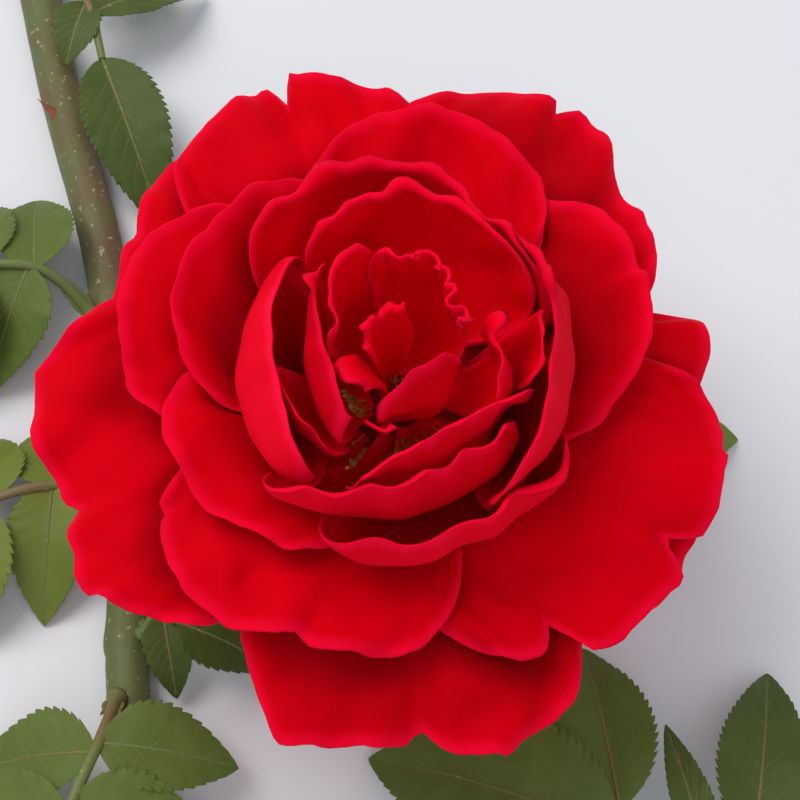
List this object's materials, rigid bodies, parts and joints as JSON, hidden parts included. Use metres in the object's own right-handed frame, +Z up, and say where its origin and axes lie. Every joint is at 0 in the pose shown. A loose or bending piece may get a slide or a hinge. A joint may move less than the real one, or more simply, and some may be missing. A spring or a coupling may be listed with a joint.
{
  "type": "cut rose spray",
  "caption": "Large open red rose bloom on a short upright shoot, rising from a prickly cane that lies flat and carries compound leaves. Cut at both ends.",
  "frame": {"origin": "middle of the bounding box's underside: the ground that the spray lies on", "axes": "+Z up, away from the ground. +Y along the cane towards its lower, thicker cut end; the bloom's face leans a little towards -Y. +X to the right, with the bloom on the right of the cane"},
  "size_m": [0.1883, 0.2653, 0.0843],
  "materials": {
    "petal": "velvety crimson red",
    "leaf": "satin mid green, darker above than below",
    "cane": "smooth green bark with reddish prickles",
    "shoot": "smooth young green stem",
    "hip": "smooth green",
    "sepal": "soft green",
    "stamen": "dull golden brown"
  },
  "bodies": {
    "root": {"cane": "cane", "cup_petal_bottom": "petal", "cup_petal_front": "petal", "cup_petal_left": "petal", "cup_petal_lower_left": "petal", "cup_petal_right": "petal", "cup_petal_top": "petal", "cup_petal_upper_left": "petal", "flower_shoot": "shoot", "guard_petal_bottom": "petal", "guard_petal_left": "petal", "guard_petal_right": "petal", "guard_petal_upper_left": "petal", "guard_petal_upper_right": "petal", "heart_petal_curl": "petal", "heart_petal_folded": "petal", "heart_petal_lower_left": "petal", "heart_petal_lower_right": "petal", "heart_petal_top": "petal", "heart_petal_upper_left": "petal", "hip": "hip", "inner_petal_front": "petal", "inner_petal_left": "petal", "inner_petal_left_out": "petal", "inner_petal_pocket": "petal", "inner_petal_right": "petal", "inner_petal_top": "petal", "leaf_back": "leaf", "leaf_bottom": "leaf", "leaf_front": "leaf", "leaf_front_right": "leaf", "leaf_left": "leaf", "leaf_low": "leaf", "leaf_lower_left": "leaf", "leaf_middle": "leaf", "leaf_right": "leaf", "leaf_small": "leaf", "leaf_upper": "leaf", "outer_petal_left": "petal", "outer_petal_lower_left": "petal", "outer_petal_lower_right": "petal", "outer_petal_right": "petal", "outer_petal_top": "petal", "outer_petal_upper": "petal", "sepal_1": "sepal", "sepal_2": "sepal", "sepal_3": "sepal", "sepal_4": "sepal", "sepal_5": "sepal", "stamens": "stamen"}
  },
  "joints": []
}
